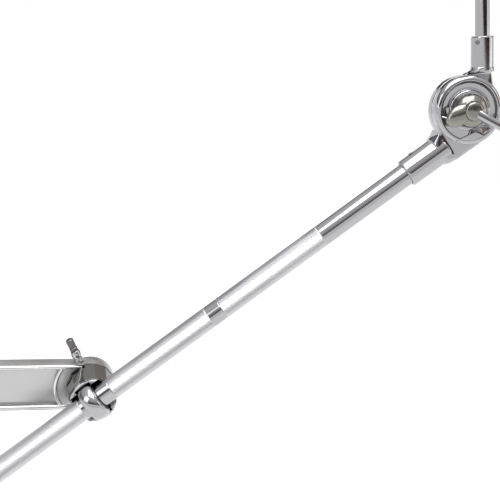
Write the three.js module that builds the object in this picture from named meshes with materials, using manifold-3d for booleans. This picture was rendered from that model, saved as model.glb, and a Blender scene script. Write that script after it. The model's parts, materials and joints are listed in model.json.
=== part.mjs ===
// Cymbal boom arm with its clamp: a cast arm grips a vertical stand tube, an eye bolt on the
// arm's round boss holds the knurled boom rod, and a two-disc tilter at the rod's upper end
// carries the upright cymbal rod. Millimetres, +Z up. The origin is on the axis of the stand
// tube, level with the middle of the cast arm. +X runs along the arm, towards the boss.

import * as THREE from 'three';
import { mergeVertices } from 'three/addons/utils/BufferGeometryUtils.js';
import Module from 'manifold-3d';

const wasm = await Module();
wasm.setup();

// ---- Driving dimensions -------------------------------------------------------------------

const GAP = 0.3;                 // clearance between touching pieces
const ROUND = 32;                // sides of a large round piece
const SMALL_ROUND = 20;          // sides of a small round piece

const BOOM_ANGLE = THREE.MathUtils.degToRad(39.3);   // boom rod above the horizontal
const ROD_ROLL = THREE.MathUtils.degToRad(10.5);     // roll of the rod in its eye
const POST_ANGLE = THREE.MathUtils.degToRad(57.2);   // cymbal rod away from the boom rod's line

const ROD_RADIUS = 6.35;         // half-inch boom tube
const ROD_WALL = 1.5;
const ROD_TAIL = 220;            // from the eye to the lower end
const TILTER_REACH = 264;        // from the eye to the middle of the tilter discs

const TUBE_RADIUS = 12.7;        // one-inch vertical stand tube
const ARM_REACH = 95;            // stand tube axis to boss axis
const ARM_HALF_HEIGHT = 14.2;
const ARM_HALF_DEPTH = 4;
const FLANGE = 3;                // height of the arm's upper and lower rims
const WEB_HALF = 1.8;            // half the thickness left between the two side pockets
const BOSS_RADIUS = 14.2;
const BOSS_SHOULDER = 20;        // radius where the side pocket ends around the boss

const EYE_SETBACK = -22;         // boom rod plane, in front of the arm's middle plane
const SEAT_LENGTH = 19.2;
const SEAT_FRONT_RADIUS = 13;
const SEAT_BACK_RADIUS = 13.9;
const BOSS_FRONT = 19.5;         // boss faces, measured back from the boom rod plane
const BOSS_BACK = 28.8;
const EYE_INNER = 8.2;
const EYE_OUTER = 11;
const EYE_HALF_WIDTH = 4.5;
const STEM_RADIUS = 4;           // M8 stems, bolts and cymbal rod
const STEM_END = 39.4;           // back end of the eye bolt's stem

const SHELL_OUTER = 19.3;        // outside of the tube clamp's half shells
const SHELL_BORE = 14.8;
const LINER_OUTER = 14.5;
const LINER_INNER = 12.9;
const HINGE_Y = 23;
const HINGE_RADIUS = 4.5;
const HINGE_PIN_RADIUS = 2.2;
const KNUCKLE_HALF = 4.7;        // half height of the moving jaw's knuckle
const BOLT_Y = -24;
const CLAMP_BOLT_RADIUS = 3;     // M6 clamp bolt
const LUG_DEPTH = 9;

const DISC_RADIUS = 19.3;        // tilter discs
const DISC_THICKNESS = 8;
const SOCKET_OFFSET = 10.1;      // tilter axis to the line of each socket
const RING_INNER = 8.4;
const RING_OUTER = 15;
const RING_POCKET = 3;
const LOWER_SOCKET = {
  radius: 8, neckEnd: 27, end: 47.4, bore: ROD_RADIUS + GAP, stop: 28, flare: 0.7, depth: 7.1,
};
const UPPER_SOCKET = {
  radius: 6.2, neckEnd: 23.6, end: 40, bore: STEM_RADIUS + GAP, stop: 25, flare: -0.6, depth: 6.4,
};

const TILTER_WASHER = DISC_THICKNESS - 0.8 + GAP;
const TILTER_NUT = TILTER_WASHER + 1.2 + GAP;     // base of the tilter's nut, in front of the seam
const TILTER_NUT_BORE = 5.6;
const TILTER_BOLT_END = TILTER_NUT + TILTER_NUT_BORE - GAP;
const LEVER_ANGLE = THREE.MathUtils.degToRad(114);
const POST_TOP = 118;            // upper end of the cymbal rod, from the tilter axis
const SEAT_STOP = 66.3;          // underside of the stop nut below the cymbal seat
const FELT_THICKNESS = 10;
const FELT_FLAT = 9.5;           // radius of the flat middle of a felt's crowned face
const FELT_CROWN = 1.4;
const CYMBAL_GAP = 2.5;          // free space between the felts

// ---- Finishes -----------------------------------------------------------------------------

const FINISHES = {
  chrome: { color: 0xd8d8dc, roughness: 0.08, metalness: 1 },
  darkChrome: { color: 0x8f9094, roughness: 0.12, metalness: 1 },
  castAluminium: { color: 0xb9babb, roughness: 0.35, metalness: 1 },
  steel: { color: 0x9a9b9e, roughness: 0.3, metalness: 1 },
  rubber: { color: 0x202022, roughness: 0.8, metalness: 0 },
  nylon: { color: 0x2b2b2e, roughness: 0.5, metalness: 0 },
  felt: { color: 0x3a3a3d, roughness: 1, metalness: 0 },
};

// ---- Geometry helpers ---------------------------------------------------------------------

/** Keeps positions only, merges shared corners, drops collapsed faces and turns all faces out. */
function closed(geometry) {
  const bare = new THREE.BufferGeometry();
  bare.setAttribute('position', geometry.getAttribute('position').clone());
  if (geometry.index) bare.setIndex(geometry.index.clone());
  const merged = mergeVertices(bare, 1e-4);
  const at = (i) => new THREE.Vector3().fromBufferAttribute(merged.getAttribute('position'), i);
  const faces = [];
  let volume = 0;
  for (let i = 0; i < merged.index.count; i += 3) {
    const face = [0, 1, 2].map((k) => merged.index.getX(i + k));
    if (new Set(face).size < 3) continue;
    faces.push(face);
    volume += at(face[0]).dot(at(face[1]).cross(at(face[2])));
  }
  if (volume < 0) faces.forEach((face) => face.reverse());
  merged.setIndex(faces.flat());
  return merged;
}

/** Turns a closed geometry into a manifold solid for cutting and joining. */
function toSolid(geometry) {
  const clean = closed(geometry);
  const vertProperties = new Float32Array(clean.getAttribute('position').array);
  const triVerts = new Uint32Array(clean.index.array);
  return new wasm.Manifold(new wasm.Mesh({ numProp: 3, vertProperties, triVerts }));
}

/** Turns a manifold solid back into a geometry. */
function toGeometry(solid) {
  const mesh = solid.getMesh();
  const geometry = new THREE.BufferGeometry();
  geometry.setAttribute('position', new THREE.BufferAttribute(new Float32Array(mesh.vertProperties), 3));
  geometry.setIndex(new THREE.BufferAttribute(new Uint32Array(mesh.triVerts), 1));
  return geometry;
}

function join(first, ...others) {
  return toGeometry(others.reduce((whole, next) => whole.add(toSolid(next)), toSolid(first)));
}

function cut(base, ...tools) {
  return toGeometry(tools.reduce((left, tool) => left.subtract(toSolid(tool)), toSolid(base)));
}

/** Turns a geometry made along +Y so that it runs along the named axis. */
function aim(geometry, axis) {
  if (axis === 'x') return geometry.rotateZ(-Math.PI / 2);
  if (axis === 'z') return geometry.rotateX(Math.PI / 2);
  return geometry;
}

/** A turned solid: profile points are [radius, place along the axis]. */
function turned(profile, axis = 'x', sides = ROUND) {
  const points = profile.map(([radius, along]) => new THREE.Vector2(radius, along));
  return closed(aim(new THREE.LatheGeometry(points, sides), axis));
}

/** A solid cylinder between two places on an axis. */
function rod(radius, from, to, axis = 'x', sides = ROUND) {
  return turned([[0, from], [radius, from], [radius, to], [0, to]], axis, sides);
}

/** A ring or tube between two places on an axis. */
function ring(inner, outer, from, to, axis = 'x', sides = ROUND) {
  return turned([[inner, from], [outer, from], [outer, to], [inner, to], [inner, from]], axis, sides);
}

function block(low, high) {
  const size = high.map((value, i) => value - low[i]);
  const middle = high.map((value, i) => (value + low[i]) / 2);
  return new THREE.BoxGeometry(...size).translate(...middle);
}

/** An outline in the XY plane, extruded from one Z to another. */
function slab(shape, from, to, curveSegments = 8) {
  const settings = { depth: to - from, bevelEnabled: false, curveSegments };
  return closed(new THREE.ExtrudeGeometry(shape, settings).translate(0, 0, from));
}

function polygon(points) {
  return new THREE.Shape(points.map(([x, y]) => new THREE.Vector2(x, y)));
}

/** A wing nut or washer-faced wing knob along +X, its hub starting at x = 0. */
function wingNut({ bore, hub, length, span, thickness, rise }) {
  const tip = span / 2;
  const wing = new THREE.Shape();
  wing.moveTo(length * 0.35, 0);
  wing.lineTo(length * 0.4, hub * 0.9);
  wing.lineTo(length * 0.75, tip - 3);
  wing.quadraticCurveTo(length * 0.6, tip, length + rise - 3, tip);
  wing.quadraticCurveTo(length + rise, tip, length + rise, tip - 4);
  wing.quadraticCurveTo(length + rise * 0.4, hub * 0.9, length, hub * 0.5);
  wing.lineTo(length, 0);
  const upper = slab(wing, -thickness / 2, thickness / 2, 4);
  const lower = upper.clone().rotateX(Math.PI);
  const profile = [[0, 0], [hub, 0], [hub, length * 0.35], [hub * 0.72, length], [0, length]];
  const body = turned(profile, 'x', SMALL_ROUND);
  const hole = rod(bore, -1, length + rise + 1, 'x', SMALL_ROUND);
  return cut(join(body, upper, lower), hole);
}

// ---- Assembly helpers ---------------------------------------------------------------------

function piece(name, geometry, finish) {
  const mesh = new THREE.Mesh(geometry, new THREE.MeshStandardMaterial(FINISHES[finish]));
  mesh.name = name;
  return mesh;
}

/** A group whose local axes are the three given directions of its parent. */
function frameAt(position, xAxis, yAxis, zAxis) {
  const group = new THREE.Group();
  group.position.set(...position);
  group.quaternion.setFromRotationMatrix(new THREE.Matrix4().makeBasis(xAxis, yAxis, zAxis));
  return group;
}

// ---- The cast arm and its tube clamp ------------------------------------------------------

/** Half of the tube clamp's shell, on the +X side, with room for the liner. */
function halfShell() {
  const shell = ring(SHELL_BORE, SHELL_OUTER, -ARM_HALF_HEIGHT, ARM_HALF_HEIGHT, 'z');
  const reach = SHELL_OUTER + 1;
  const other = block([-reach, -reach, -ARM_HALF_HEIGHT - 1], [GAP / 2, reach, ARM_HALF_HEIGHT + 1]);
  return cut(shell, other);
}

/** The lug that the clamp bolt goes through, from the shell out past the bolt, on the +X side. */
function boltLug() {
  const low = [GAP / 2, BOLT_Y - 5.5, -7];
  return block(low, [LUG_DEPTH, -SHELL_BORE - 0.6, 7]);
}

/** Hinge knuckle around the pin, with a web to the shell on the +X side. */
function knuckle(from, to) {
  const barrel = rod(HINGE_RADIUS, from, to, 'z', SMALL_ROUND).translate(0, HINGE_Y, 0);
  const web = block([GAP / 2, SHELL_BORE + 0.6, from], [6, HINGE_Y, to]);
  return join(barrel, web);
}

function armOutline() {
  const end = SHELL_OUTER - 2;
  const outline = new THREE.Shape();
  outline.moveTo(end, -ARM_HALF_HEIGHT);
  outline.lineTo(ARM_REACH, -BOSS_RADIUS);
  outline.absarc(ARM_REACH, 0, BOSS_RADIUS, -Math.PI / 2, Math.PI / 2, false);
  outline.lineTo(end, ARM_HALF_HEIGHT);
  return outline;
}

/** Side pocket of the arm, between the rims, ending in an arc around the boss. */
function armPocket() {
  const top = ARM_HALF_HEIGHT - FLANGE;
  const sweep = Math.asin(top / BOSS_SHOULDER);
  const outline = new THREE.Shape();
  outline.moveTo(SHELL_OUTER + 6, -top);
  outline.absarc(ARM_REACH, 0, BOSS_SHOULDER, Math.PI + sweep, Math.PI - sweep, true);
  outline.lineTo(SHELL_OUTER + 6, top);
  outline.absarc(SHELL_OUTER + 6, 0, top, Math.PI / 2, -Math.PI / 2, true);
  return outline;
}

/** Stands an XY slab up so that its outline lies in XZ and its depth runs along Y. */
function upright(geometry) {
  return geometry.rotateX(Math.PI / 2);
}

function armCasting() {
  const beam = upright(slab(armOutline(), -ARM_HALF_DEPTH, ARM_HALF_DEPTH));
  const bossMiddle = [ARM_REACH, EYE_SETBACK, 0];
  const boss = rod(BOSS_RADIUS, BOSS_FRONT, BOSS_BACK, 'y').translate(...bossMiddle);
  const knuckles = [
    knuckle(-ARM_HALF_HEIGHT, -KNUCKLE_HALF - GAP), knuckle(KNUCKLE_HALF + GAP, ARM_HALF_HEIGHT)];
  const whole = join(beam, boss, halfShell(), boltLug(), ...knuckles);
  const pocketDepth = ARM_HALF_DEPTH - WEB_HALF;
  const pockets = [-ARM_HALF_DEPTH - 1, WEB_HALF].map(
    (from) => upright(slab(armPocket(), from, from + pocketDepth + 1)));
  return cut(
    whole,
    ...pockets,
    rod(SHELL_BORE, -20, 20, 'z'),
    rod(SEAT_BACK_RADIUS + 1, BOSS_FRONT - 12, BOSS_FRONT, 'y').translate(...bossMiddle),
    rod(STEM_RADIUS + GAP, 0, 40, 'y', SMALL_ROUND).translate(...bossMiddle),
    rod(HINGE_PIN_RADIUS + GAP, -20, 20, 'z', SMALL_ROUND).translate(0, HINGE_Y, 0),
    rod(CLAMP_BOLT_RADIUS + GAP, -1, 20, 'x', SMALL_ROUND).translate(0, BOLT_Y, 0),
    lockScrewSpace(),
    block([-8, 10, -KNUCKLE_HALF - GAP], [HINGE_RADIUS + GAP, 40, KNUCKLE_HALF + GAP]),
  );
}

/** Frame of the lock screw: local +X runs out of the top of the boss. */
const LOCK_SCREW = { angle: THREE.MathUtils.degToRad(115.5), radius: 1.9, foot: 10.6, depth: 1 };
const LOCK_NUT_FACE = 18.3;

function alongLockScrew(geometry) {
  return geometry.rotateY(-LOCK_SCREW.angle).translate(ARM_REACH, LOCK_SCREW.depth, 0);
}

function lockScrewSpace() {
  return alongLockScrew(rod(LOCK_SCREW.radius + GAP, LOCK_SCREW.foot - GAP, 30, 'x', SMALL_ROUND));
}

function lockScrew() {
  const { radius, foot } = LOCK_SCREW;
  return alongLockScrew(turned(
    [[0, foot], [radius, foot], [radius, 23.6], [2.4, 23.9], [2.4, 24.8], [1.8, 25.2], [2.2, 25.7],
      [2.2, 30.1], [1.6, 30.8], [0, 30.8]],
    'x', SMALL_ROUND));
}

function lockScrewNut() {
  const inner = LOCK_SCREW.radius + GAP;
  return alongLockScrew(turned(
    [[inner, LOCK_NUT_FACE], [2.5, LOCK_NUT_FACE], [2.9, LOCK_NUT_FACE + 1.4], [2.9, LOCK_NUT_FACE + 3.2],
      [2.5, LOCK_NUT_FACE + 4.6], [inner, LOCK_NUT_FACE + 4.6], [inner, LOCK_NUT_FACE]], 'x', SMALL_ROUND));
}

function liner(side) {
  const whole = ring(LINER_INNER, LINER_OUTER, -ARM_HALF_HEIGHT + 0.5, ARM_HALF_HEIGHT - 0.5, 'z');
  const edge = 2.2;
  const away = block([-20, -20, -20], [edge, 20, 20]);
  const half = cut(whole, away);
  return side > 0 ? half : half.rotateZ(Math.PI);
}

function tubeJaw() {
  const shell = halfShell().rotateZ(Math.PI);
  const mirroredLug = block([-LUG_DEPTH, BOLT_Y - 5.5, -7], [-GAP / 2, -SHELL_BORE - 0.6, 7]);
  const barrel = rod(HINGE_RADIUS, -KNUCKLE_HALF, KNUCKLE_HALF, 'z', SMALL_ROUND).translate(0, HINGE_Y, 0);
  const web = block([-6, SHELL_BORE + 0.6, -KNUCKLE_HALF], [-GAP / 2, HINGE_Y, KNUCKLE_HALF]);
  const slot = block([-LUG_DEPTH - 1, BOLT_Y - 4.6, -3.4], [1, BOLT_Y + 4.6, 3.4]);
  const knuckleSpace = [[-20, -KNUCKLE_HALF], [KNUCKLE_HALF, 20]].map(
    ([from, to]) => rod(HINGE_RADIUS + GAP, from, to, 'z', SMALL_ROUND).translate(0, HINGE_Y, 0));
  return cut(
    join(cut(shell, ...knuckleSpace), mirroredLug, barrel, web),
    rod(SHELL_BORE, -20, 20, 'z'),
    rod(HINGE_PIN_RADIUS + GAP, -20, 20, 'z', SMALL_ROUND).translate(0, HINGE_Y, 0),
    slot,
  );
}

function hingePin() {
  const head = ARM_HALF_HEIGHT + GAP;
  return turned(
    [[0, -head], [HINGE_PIN_RADIUS, -head], [HINGE_PIN_RADIUS, head], [3.6, head], [3.6, head + 1.4],
      [2.6, head + 2.2], [0, head + 2.2]], 'z', SMALL_ROUND).translate(0, HINGE_Y, 0);
}

/** Clamp bolt: head against the fixed lug, thread out through the jaw's slot towards -X. */
function clampBolt() {
  const head = LUG_DEPTH + GAP;
  return turned(
    [[0, -32], [2.4, -32], [CLAMP_BOLT_RADIUS, -31.2], [CLAMP_BOLT_RADIUS, head], [5, head], [5, head + 3.6],
      [4.2, head + 4.4], [0, head + 4.4]], 'x', SMALL_ROUND).translate(0, BOLT_Y, 0);
}

const CLAMP_WASHER_FACE = -LUG_DEPTH - GAP;
const CLAMP_NUT_FACE = CLAMP_WASHER_FACE - 1.4 - GAP;

function buildClamp() {
  const group = new THREE.Group();
  const hole = CLAMP_BOLT_RADIUS + GAP;
  const washer = ring(hole, 6.5, CLAMP_WASHER_FACE - 1.4, CLAMP_WASHER_FACE, 'x', SMALL_ROUND);
  const nut = wingNut({ bore: hole, hub: 6, length: 9, span: 31, thickness: 3.6, rise: 6 })
    .rotateX(Math.PI / 2).rotateZ(Math.PI).translate(CLAMP_NUT_FACE, BOLT_Y, 0);
  group.add(
    piece('arm_casting', armCasting(), 'castAluminium'),
    piece('tube_liner_fixed', liner(1), 'nylon'),
    piece('lock_screw', lockScrew(), 'steel'),
    piece('lock_screw_nut', lockScrewNut(), 'darkChrome'),
    piece('jaw_hinge_pin', hingePin(), 'steel'),
    piece('clamp_bolt', clampBolt(), 'steel'),
    piece('tube_jaw', tubeJaw(), 'castAluminium'),
    piece('tube_liner_moving', liner(-1), 'nylon'),
    piece('clamp_washer', washer.translate(0, BOLT_Y, 0), 'chrome'),
    piece('clamp_wing_nut', nut, 'chrome'),
  );
  return group;
}

// ---- The eye bolt and its seat, in the swivel's frame: +X along the boom, +Y back ----------

function rodSeat() {
  const body = turned(
    [[0, 0.2], [SEAT_FRONT_RADIUS - 0.6, 0.2], [SEAT_FRONT_RADIUS, 0.8], [SEAT_FRONT_RADIUS, 2.2],
      [SEAT_FRONT_RADIUS - 0.7, 2.6], [SEAT_BACK_RADIUS, SEAT_LENGTH], [0, SEAT_LENGTH]], 'y', 36);
  const grooveDepth = (ROD_RADIUS + GAP) * Math.SQRT2;
  const groove = polygon([[-grooveDepth - 2, -2], [grooveDepth + 2, -2], [0, grooveDepth]]);
  const grooveSolid = slab(groove, -20, 20).rotateY(Math.PI / 2);
  const eyeSpace = rod(EYE_OUTER + GAP, -EYE_HALF_WIDTH - GAP, EYE_HALF_WIDTH + GAP, 'x', 40);
  return cut(body, grooveSolid, eyeSpace, rod(STEM_RADIUS + GAP, 0, 30, 'y', SMALL_ROUND));
}

function eyeBolt() {
  const crown = Array.from({ length: 9 }, (_, step) => {
    const turn = (Math.PI * step) / 8;
    return [EYE_INNER + (EYE_OUTER - EYE_INNER) * Math.sin(turn) ** 0.7, -EYE_HALF_WIDTH * Math.cos(turn)];
  });
  const eye = turned([...crown, crown[0]], 'x', 40);
  const stem = turned(
    [[0, EYE_INNER + 1], [STEM_RADIUS, EYE_INNER + 1], [STEM_RADIUS, STEM_END - 0.8],
      [STEM_RADIUS - 0.8, STEM_END], [0, STEM_END]], 'y', SMALL_ROUND);
  return join(eye, stem);
}

function buildEye() {
  const washerFace = BOSS_BACK + GAP;
  const nutFace = washerFace + 1.6 + GAP;
  const nut = cut(
    turned(
      [[0, nutFace], [7.5, nutFace], [7.5, nutFace + 5.6], [6.8, nutFace + 6.5], [0, nutFace + 6.5]], 'y', 6),
    rod(STEM_RADIUS + GAP, nutFace - 1, nutFace + 8, 'y', SMALL_ROUND));
  const bushing = ring(ROD_RADIUS + GAP, EYE_INNER - GAP, -EYE_HALF_WIDTH, EYE_HALF_WIDTH, 'x', 40);
  const group = new THREE.Group();
  group.add(
    piece('rod_seat', rodSeat(), 'darkChrome'),
    piece('eye_bolt', eyeBolt(), 'chrome'),
    piece('eye_bushing', bushing, 'nylon'),
    piece('eye_washer', ring(STEM_RADIUS + GAP, 9, washerFace, washerFace + 1.6, 'y', SMALL_ROUND), 'chrome'),
    piece('eye_lock_nut', nut, 'steel'),
  );
  return group;
}

// ---- The boom rod -------------------------------------------------------------------------

function buildRod() {
  const top = TILTER_REACH - LOWER_SOCKET.stop;
  const inner = ROD_RADIUS - ROD_WALL;
  const tube = ring(inner, ROD_RADIUS, -ROD_TAIL, top, 'x', 40);
  const capInner = ROD_RADIUS + GAP;
  const cap = turned(
    [[0, -ROD_TAIL - 2.4], [5.6, -ROD_TAIL - 2.4], [8, -ROD_TAIL - 0.8], [8, -ROD_TAIL + 15],
      [7.4, -ROD_TAIL + 15.6], [capInner, -ROD_TAIL + 15.6], [capInner, -ROD_TAIL - GAP],
      [0, -ROD_TAIL - GAP]], 'x');
  const group = new THREE.Group();
  group.add(piece('boom_rod', tube, 'chrome'), piece('rod_end_cap', cap, 'rubber'));
  return group;
}

// ---- Tilter castings, in their own frame: +X out along the socket, +Z out of the disc ------

function tilterCasting({ radius, neckEnd, end, bore, stop, flare, depth }) {
  const face = DISC_THICKNESS;
  const disc = turned(
    [[STEM_RADIUS + GAP, RING_POCKET], [RING_OUTER + GAP, RING_POCKET], [RING_OUTER + GAP, 0.25],
      [DISC_RADIUS - 0.6, 0.25], [DISC_RADIUS, 0.9], [DISC_RADIUS, face - 2], [DISC_RADIUS - 1.7, face],
      [16.4, face], [15.4, face - 1.9], [11.2, face - 2.2], [10.4, face - 0.8],
      [STEM_RADIUS + GAP, face - 0.8],
      [STEM_RADIUS + GAP, RING_POCKET]], 'z', 48);
  const top = SOCKET_OFFSET + radius + flare;
  const bottom = SOCKET_OFFSET - radius - 0.8;
  const side = new THREE.Shape();
  side.moveTo(0, DISC_RADIUS - 0.2);
  side.lineTo(neckEnd, top);
  side.lineTo(neckEnd, bottom);
  side.lineTo(neckEnd - 3, bottom);
  side.quadraticCurveTo(DISC_RADIUS + 0.2, bottom - 1.5, DISC_RADIUS - 1.9, bottom - 8.5);
  side.lineTo(12, 0);
  side.lineTo(0, 12);
  const neck = slab(side, 0.6, face - 1.2, 5);
  const cap = 2.6;
  const half = depth;
  const section = polygon([
    [bottom, -half + cap], [bottom + cap, -half], [top - cap, -half], [top, -half + cap],
    [top, half - cap], [top - cap, half], [bottom + cap, half], [bottom, half - cap]]);
  const shoulder = DISC_RADIUS + 0.9;
  const head = slab(section, shoulder, neckEnd).rotateY(Math.PI / 2).rotateX(Math.PI / 2);
  const sleeve = turned(
    [[0, shoulder], [radius, shoulder], [radius, end - 0.9], [radius - 0.9, end], [0, end]], 'x', 36)
    .translate(0, SOCKET_OFFSET, 0);
  const ringSpace = rod(RING_OUTER + GAP, -1, RING_POCKET, 'z', 48);
  const hole = rod(bore, stop - GAP, end + 1, 'x', 36).translate(0, SOCKET_OFFSET, 0);
  return cut(join(disc, neck, head, sleeve), ringSpace, hole,
    rod(STEM_RADIUS + GAP, -1, 12, 'z', SMALL_ROUND));
}

const SOCKET_SCREW_RADIUS = 1.3;

/** Set screw through a socket's wall, at an angle around the socket from its -Y side. */
function socketScrew({ radius, bore }, place, angle, spare) {
  const from = bore + 0.1;
  return rod(SOCKET_SCREW_RADIUS - spare, from - spare * 3, radius + 0.25 + spare * 3, 'y', 12)
    .rotateX(Math.PI + angle).translate(place, SOCKET_OFFSET, 0);
}

const LOWER_SCREW = { place: 39, angle: 0 };
const UPPER_SCREW = { place: 36.6, angle: Math.PI / 4 };

/** Flat land across the lower side of the front cup, with a stepped edge and a square window. */
function faceLand() {
  const outline = polygon([
    [17, 6.6], [7.6, 11], [5.4, 9.4], [-3, 9.4], [-7, 12.6], [-12, 12.2], [-9.6, 15.6], [-4, 17.6],
    [4, 17.6], [10.4, 14.6], [15.4, 9.4]]);
  const window = block([-4.4, 10.9, DISC_THICKNESS - 2.6], [0.4, 15.3, DISC_THICKNESS + 1]);
  return cut(slab(outline, DISC_THICKNESS - 2.4, DISC_THICKNESS - 0.1), window);
}

function castingWithScrewHole(socket, screw) {
  return cut(tilterCasting(socket), socketScrew(socket, screw.place, screw.angle, -GAP - 0.5));
}

/** Ratchet ring with radial teeth on the face that meets its twin. */
function ratchetRing() {
  return ring(RING_INNER, RING_OUTER - 0.1, 0.25, RING_POCKET - GAP, 'z', ROUND);
}

/** Coil spring around the tilter bolt, between the two pockets. */
class Coil extends THREE.Curve {
  getPoint(t, target = new THREE.Vector3()) {
    const turn = t * 2.5 * Math.PI * 2;
    return target.set(6.4 * Math.cos(turn), 6.4 * Math.sin(turn), -1.9 + 3.8 * t);
  }
}

function tilterSpring() {
  const wire = new THREE.Shape().absarc(0, 0, 0.6, 0, Math.PI * 2);
  return closed(new THREE.ExtrudeGeometry(
    wire, { steps: 30, curveSegments: 3, bevelEnabled: false, extrudePath: new Coil() }));
}

/** Locking nut of the tilter: a closed dome with a rounded lobe and a longer lever, along +Z. */
function tilterNut() {
  const blind = TILTER_NUT_BORE;
  const dome = turned(
    [[0, 0], [9.2, 0], [9.4, 1.4], [8.6, 4], [6.8, 6.2], [4, 7.6], [0, 8.2]], 'z', 36);
  const lobe = new THREE.SphereGeometry(6, 20, 14).scale(1.15, 0.9, 0.62).translate(9, -2.6, 4.6);
  const side = new THREE.Shape();
  side.moveTo(2, 1.2);
  side.lineTo(9, 1.6);
  side.lineTo(17.5, 6.2);
  side.quadraticCurveTo(20.5, 8.6, 18.4, 11.2);
  side.quadraticCurveTo(16.6, 12.6, 14, 11.4);
  side.lineTo(1, 7.4);
  const lever = slab(side, -1.7, 1.7, 6).rotateX(Math.PI / 2).rotateZ(LEVER_ANGLE);
  return cut(join(dome, lobe, lever), rod(STEM_RADIUS + GAP, -1, blind, 'z', SMALL_ROUND));
}

/** Through bolt: head behind the upper disc, thread into the dome nut before the lower disc. */
function tilterBolt() {
  const back = -DISC_THICKNESS - GAP + 0.8;
  return turned(
    [[0, back - 4.6], [6.6, back - 4.6], [7.4, back - 3.8], [7.4, back], [STEM_RADIUS, back],
      [STEM_RADIUS, TILTER_BOLT_END - 0.8],
      [STEM_RADIUS - 0.8, TILTER_BOLT_END], [0, TILTER_BOLT_END]], 'z', SMALL_ROUND);
}

function buildLowerTilter() {
  const xAxis = new THREE.Vector3(-1, 0, 0);
  const yAxis = new THREE.Vector3(0, 0, -1);
  const zAxis = new THREE.Vector3(0, -1, 0);
  const group = frameAt([TILTER_REACH, 0, SOCKET_OFFSET], xAxis, yAxis, zAxis);
  group.add(
    piece(
      'lower_tilter_casting', join(castingWithScrewHole(LOWER_SOCKET, LOWER_SCREW), faceLand()), 'chrome'),
    piece('lower_ratchet_ring', ratchetRing(), 'steel'),
    piece('lower_socket_screw', socketScrew(LOWER_SOCKET, LOWER_SCREW.place, LOWER_SCREW.angle, 0), 'steel'),
    piece('tilter_spring', tilterSpring(), 'steel'),
    piece('tilter_bolt', tilterBolt(), 'chrome'),
    piece('tilter_washer', ring(STEM_RADIUS + GAP, 9, TILTER_WASHER, TILTER_WASHER + 1.2, 'z'), 'chrome'),
    piece('tilter_lever_nut', tilterNut().translate(0, 0, TILTER_NUT), 'chrome'),
  );
  return group;
}

// ---- The upper tilter half, cymbal rod and cymbal seat ------------------------------------

function onPost(geometry) {
  return geometry.translate(0, SOCKET_OFFSET, 0);
}

/** Felt washer with a crowned contact face at contact, and its other, flat face at base. */
function felt(outer, base, contact) {
  const up = Math.sign(contact - base);
  const shoulder = contact - FELT_CROWN * up;
  const inner = 6 + GAP;
  const outline = [
    [inner, base], [outer - 0.8, base], [outer, base + 0.8 * up], [outer, shoulder], [FELT_FLAT, contact],
    [inner, contact], [inner, base]];
  return turned(up > 0 ? outline : outline.reverse(), 'x');
}

function buildUpperTilter() {
  const xAxis = new THREE.Vector3(Math.cos(POST_ANGLE), 0, Math.sin(POST_ANGLE));
  const yAxis = new THREE.Vector3(Math.sin(POST_ANGLE), 0, -Math.cos(POST_ANGLE));
  const zAxis = new THREE.Vector3(0, 1, 0);
  const group = frameAt([TILTER_REACH, 0, SOCKET_OFFSET], xAxis, yAxis, zAxis);
  const hole = STEM_RADIUS + GAP;
  const washerFrom = SEAT_STOP + 4 + GAP;
  const sleeveFrom = washerFrom + 1.6 + GAP;
  const feltFrom = sleeveFrom + 1.6 + GAP;
  const upperFeltFrom = feltFrom + FELT_THICKNESS + CYMBAL_GAP;
  const feltTop = upperFeltFrom + FELT_THICKNESS;
  const sleeveTo = feltTop - 0.4;
  const topWasherFrom = feltTop + GAP;
  const nutFrom = topWasherFrom + 1.4 + GAP;
  const post = turned(
    [[0, UPPER_SOCKET.stop], [STEM_RADIUS, UPPER_SOCKET.stop], [STEM_RADIUS, POST_TOP - 0.8],
      [STEM_RADIUS - 0.8, POST_TOP], [0, POST_TOP]], 'x', 24);
  const cup = turned(
    [[hole, washerFrom], [8, washerFrom], [15.5, washerFrom + 0.6], [16.5, washerFrom + 1.6],
      [hole, washerFrom + 1.6], [hole, washerFrom]], 'x');
  const sleeve = turned(
    [[hole, sleeveFrom], [9, sleeveFrom], [9, sleeveFrom + 1.6], [6, sleeveFrom + 1.6], [6, sleeveTo],
      [hole, sleeveTo], [hole, sleeveFrom]], 'x', 24);
  const stopNut = cut(
    rod(7.4, SEAT_STOP, SEAT_STOP + 4, 'x', 6), rod(hole, SEAT_STOP - 1, SEAT_STOP + 5, 'x', SMALL_ROUND));
  const nut = wingNut({ bore: hole, hub: 7, length: 9, span: 36, thickness: 4.4, rise: 6 });
  group.add(
    piece('upper_tilter_casting', castingWithScrewHole(UPPER_SOCKET, UPPER_SCREW), 'chrome'),
    piece('upper_ratchet_ring', ratchetRing(), 'steel'),
    piece('upper_socket_screw', socketScrew(UPPER_SOCKET, UPPER_SCREW.place, UPPER_SCREW.angle, 0), 'steel'),
    piece('cymbal_rod', onPost(post), 'chrome'),
    piece('seat_stop_nut', onPost(stopNut), 'chrome'),
    piece('seat_washer', onPost(cup), 'chrome'),
    piece('cymbal_sleeve', onPost(sleeve), 'nylon'),
    piece('lower_felt', onPost(felt(17, feltFrom, feltFrom + FELT_THICKNESS)), 'felt'),
    piece('upper_felt', onPost(felt(15, feltTop, upperFeltFrom)), 'felt'),
    piece('top_washer', onPost(ring(hole, 10, topWasherFrom, topWasherFrom + 1.4, 'x', 24)), 'chrome'),
    piece('cymbal_wing_nut', onPost(nut.rotateX(0.6).translate(nutFrom, 0, 0)), 'chrome'),
  );
  return group;
}

// ---- The whole object ---------------------------------------------------------------------

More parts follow.
